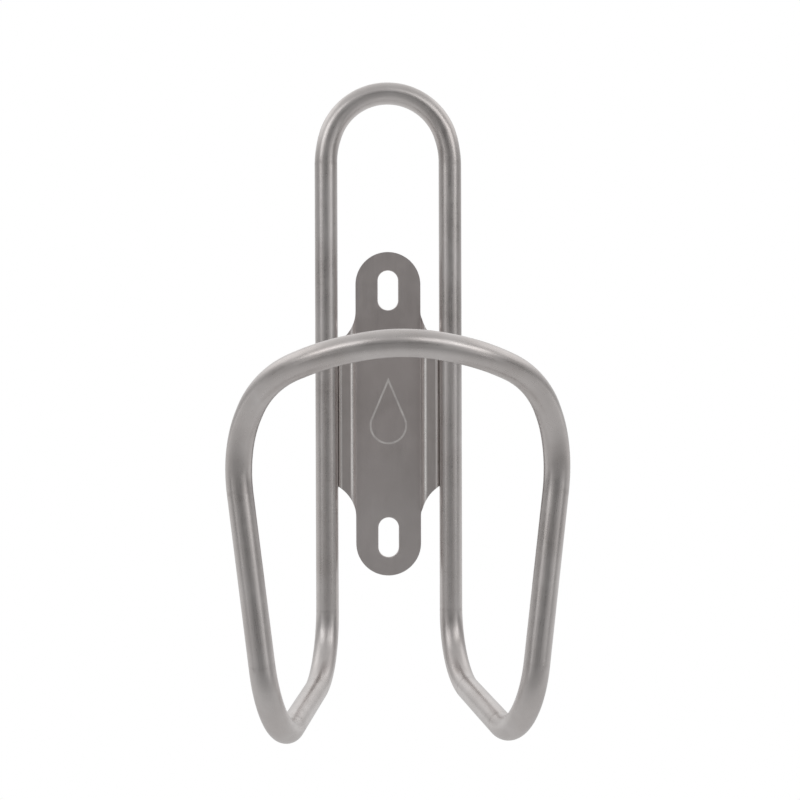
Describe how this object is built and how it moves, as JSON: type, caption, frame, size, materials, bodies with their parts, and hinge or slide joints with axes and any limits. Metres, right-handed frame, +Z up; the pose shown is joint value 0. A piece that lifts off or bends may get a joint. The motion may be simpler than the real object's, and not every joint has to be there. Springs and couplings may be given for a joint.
{
  "type": "water bottle cage",
  "caption": "Bent tube bottle cage: upright loop and front hoop round the bottle, with a slotted mounting plate welded behind the rails.",
  "frame": {"origin": "midway between the two bolt slots, on the mounting face of the plate", "axes": "+Z up along the bottle, +Y out of the mounting face towards the bicycle frame, +X sideways; the bottle is on the -Y side"},
  "size_m": [0.0757, 0.084, 0.1584],
  "materials": {
    "tube": "satin bead-blasted titanium",
    "plate": "satin titanium sheet",
    "weld": "as-welded titanium bead"
  },
  "bodies": {
    "root": {"loop_tube": "tube", "butt_weld": "weld", "mounting_plate": "plate", "weld_bead_left_lower": "weld", "weld_bead_left_upper": "weld", "weld_bead_right_lower": "weld", "weld_bead_right_upper": "weld"}
  },
  "joints": []
}
